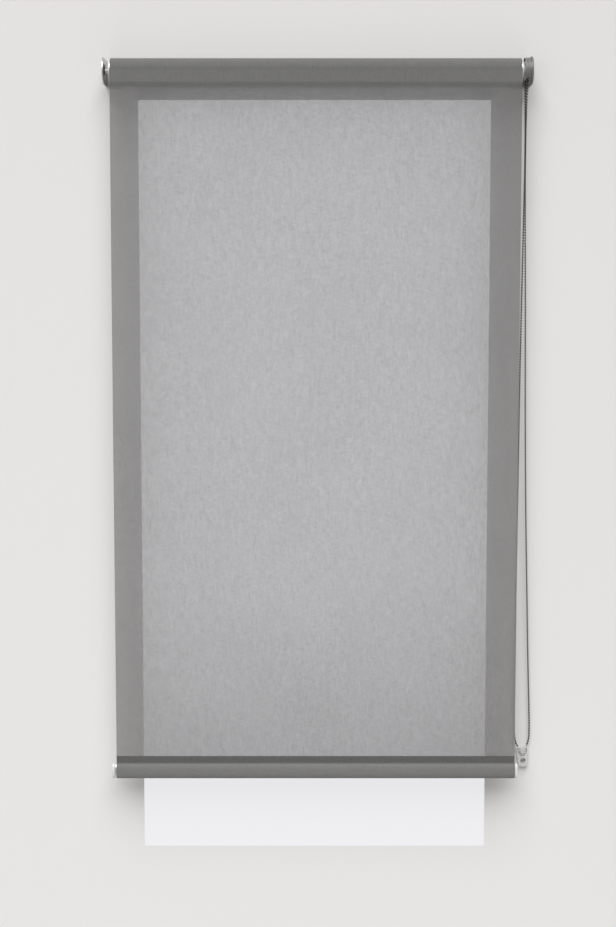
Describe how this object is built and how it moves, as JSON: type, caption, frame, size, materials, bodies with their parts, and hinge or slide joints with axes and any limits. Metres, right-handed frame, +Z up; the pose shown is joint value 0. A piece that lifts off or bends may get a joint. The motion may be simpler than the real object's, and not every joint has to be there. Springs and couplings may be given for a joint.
{
  "type": "roller blind",
  "caption": "Wall-fixed roller blind with light-filtering grey cloth, a weighted bottom bar, end brackets and an endless bead-chain drive with a wall hold-down.",
  "frame": {"origin": "on the wall, midway between the outer faces of the two end brackets, at the height of the roller's axis", "axes": "+X to the right as seen from the room, +Y into the wall, +Z up"},
  "size_m": [0.6839, 0.0885, 1.1457],
  "materials": {
    "chromed_steel": "bright chrome plate on bent steel",
    "zinc_steel": "zinc-plated steel",
    "spring_steel": "plain spring wire",
    "aluminium": "mill-finish extrusion",
    "grey_plastic": "moulded, mid grey",
    "dark_plastic": "moulded, black",
    "white_plastic": "moulded, white",
    "clear_plastic": "clear, slightly frosted",
    "grey_fabric": "light-filtering linen-look weave, grey",
    "bead_steel": "dark bronzed steel balls"
  },
  "bodies": {
    "wall_fixings": {"left_bracket": "chromed_steel", "left_bearing_insert": "dark_plastic", "left_wall_screw_outer": "zinc_steel", "left_wall_screw_inner": "zinc_steel", "right_bracket": "chromed_steel", "right_bracket_cover": "grey_plastic", "right_wall_screw_outer": "zinc_steel", "right_wall_screw_inner": "zinc_steel", "clutch_hub": "dark_plastic", "retaining_washer": "zinc_steel", "retaining_screw": "zinc_steel", "chain_guard": "grey_plastic", "bead_chain_over_wheel": "bead_steel", "bead_chain_front_run": "bead_steel", "bead_chain_back_run": "bead_steel", "chain_connector": "clear_plastic", "tensioner_body": "clear_plastic", "tensioner_screw": "zinc_steel", "fabric_sheet": "grey_fabric"},
    "roller": {"roller_tube": "aluminium", "fabric_roll": "grey_fabric", "idler_plug": "white_plastic", "drive_sleeve": "white_plastic", "idler_spring": "spring_steel"},
    "chain_wheel": {"chain_wheel": "white_plastic", "wrap_spring_outer": "spring_steel", "wrap_spring_inner": "spring_steel"},
    "idler_pin": {"idler_pin": "white_plastic"},
    "bar": {"hem_pocket": "grey_fabric", "bottom_bar": "aluminium", "bar_end_cap_left": "white_plastic", "bar_end_cap_right": "white_plastic"}
  },
  "joints": [
    {"name": "roller_turn", "type": "hinge", "parent": "wall_fixings", "child": "roller", "pos_m": [0, -0.038, 0], "axis": [-1, 0, 0], "range_deg": [0, 3240]},
    {"name": "chain_wheel_turn", "type": "hinge", "parent": "wall_fixings", "child": "chain_wheel", "pos_m": [0.326, -0.038, 0], "axis": [-1, 0, 0], "range_deg": [0, 3240]},
    {"name": "bar_slide", "type": "slide", "parent": "wall_fixings", "child": "bar", "axis": [0, 0, 1], "range_m": [0, 1.0406], "deforming": ["fabric_sheet"]},
    {"name": "idler_pin_slide", "type": "slide", "parent": "wall_fixings", "child": "idler_pin", "axis": [1, 0, 0], "range_m": [0, 0.005], "stiffness_N_per_m": 400, "springref_m": -0.004, "deforming": ["idler_spring"]}
  ],
  "couplings": [
    {"joint": "chain_wheel_turn", "follows": "roller_turn", "ratio": 1},
    {"joint": "bar_slide", "follows": "roller_turn", "m_per_rad": 0.0184}
  ]
}
